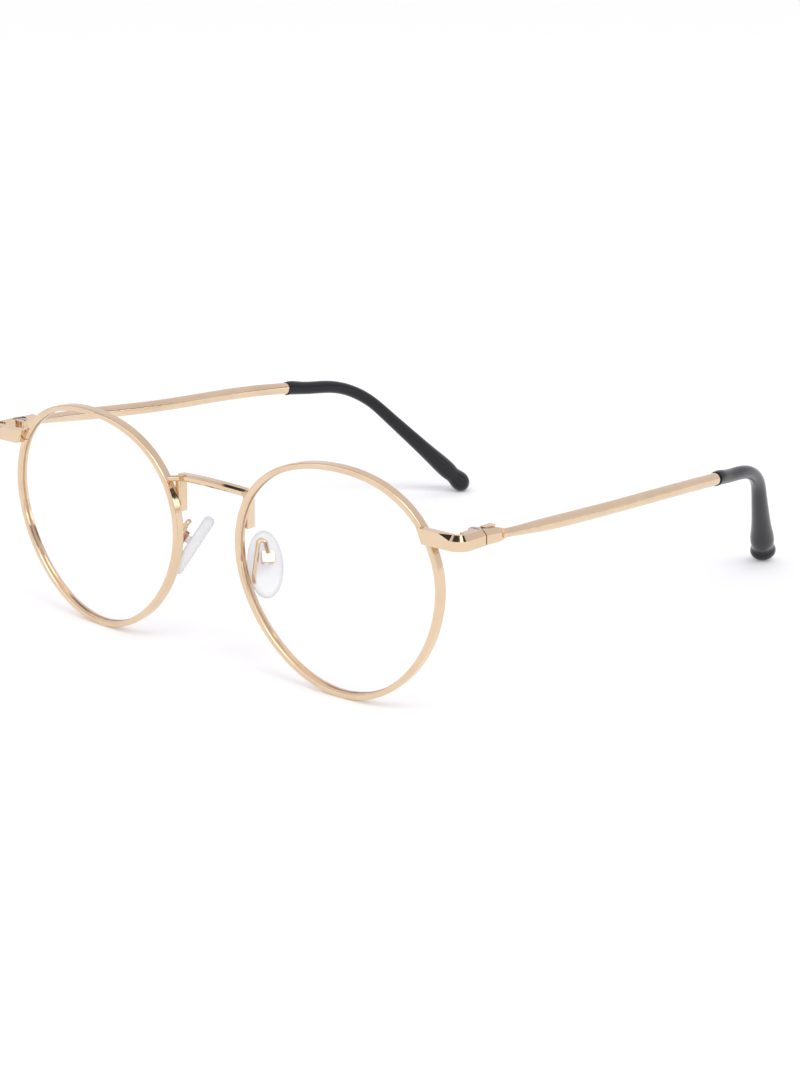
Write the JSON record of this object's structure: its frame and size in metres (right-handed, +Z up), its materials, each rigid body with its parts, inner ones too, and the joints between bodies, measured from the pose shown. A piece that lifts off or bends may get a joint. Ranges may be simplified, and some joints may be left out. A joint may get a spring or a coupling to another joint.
{
  "type": "round wire eyeglasses",
  "caption": "Round metal wire eyeglasses with clear lenses, screw-barrel hinges, folding temples with black sleeve tips, and rocking clear nose pads on looped arms.",
  "frame": {"origin": "on the table, under the middle of the glasses' bounding box, both temples open", "axes": "+X to the wearer's left, +Y from the front back along the temples, +Z up, as the glasses stand on the rims and temple tips"},
  "size_m": [0.1374, 0.1424, 0.0492],
  "materials": {
    "frame_gold": "polished pale rose-gold plating",
    "screw_metal": "polished plated steel",
    "lens_clear": "clear, anti-reflection coated",
    "pad_clear": "clear moulded pad, glossy",
    "tip_black": "glossy black acetate"
  },
  "bodies": {
    "front": {"bridge": "frame_gold", "rim_left": "frame_gold", "lens_left": "lens_clear", "endpiece_left": "frame_gold", "closing_block_upper_left": "frame_gold", "closing_block_lower_left": "frame_gold", "closing_screw_left": "screw_metal", "hinge_front_left": "frame_gold", "hinge_screw_left": "screw_metal", "bridge_leg_left": "frame_gold", "pad_arm_left": "frame_gold", "pad_box_left": "frame_gold", "pad_screw_left": "screw_metal", "rim_right": "frame_gold", "lens_right": "lens_clear", "endpiece_right": "frame_gold", "closing_block_upper_right": "frame_gold", "closing_block_lower_right": "frame_gold", "closing_screw_right": "screw_metal", "hinge_front_right": "frame_gold", "hinge_screw_right": "screw_metal", "bridge_leg_right": "frame_gold", "pad_arm_right": "frame_gold", "pad_box_right": "frame_gold", "pad_screw_right": "screw_metal"},
    "temple_left": {"hinge_rear_left": "frame_gold", "temple_left": "frame_gold", "temple_tip_left": "tip_black"},
    "temple_right": {"hinge_rear_right": "frame_gold", "temple_right": "frame_gold", "temple_tip_right": "tip_black"},
    "pad_left": {"nose_pad_left": "pad_clear"},
    "pad_right": {"nose_pad_right": "pad_clear"}
  },
  "joints": [
    {"name": "temple_left_fold", "type": "hinge", "parent": "front", "child": "temple_left", "pos_m": [0.0652, -0.0626, 0.0383], "axis": [0, 0, 1], "range_deg": [0, 82]},
    {"name": "temple_right_fold", "type": "hinge", "parent": "front", "child": "temple_right", "pos_m": [-0.0652, -0.0626, 0.0383], "axis": [0, 0, -1], "range_deg": [0, 74]},
    {"name": "pad_left_rock", "type": "hinge", "parent": "front", "child": "pad_left", "pos_m": [0.01219, -0.06485, 0.02401], "axis": [0.5895, 0.807, -0.0361], "range_deg": [-5, 8]},
    {"name": "pad_right_rock", "type": "hinge", "parent": "front", "child": "pad_right", "pos_m": [-0.01219, -0.06485, 0.02401], "axis": [0.5895, -0.807, 0.0361], "range_deg": [-5, 8]}
  ]
}
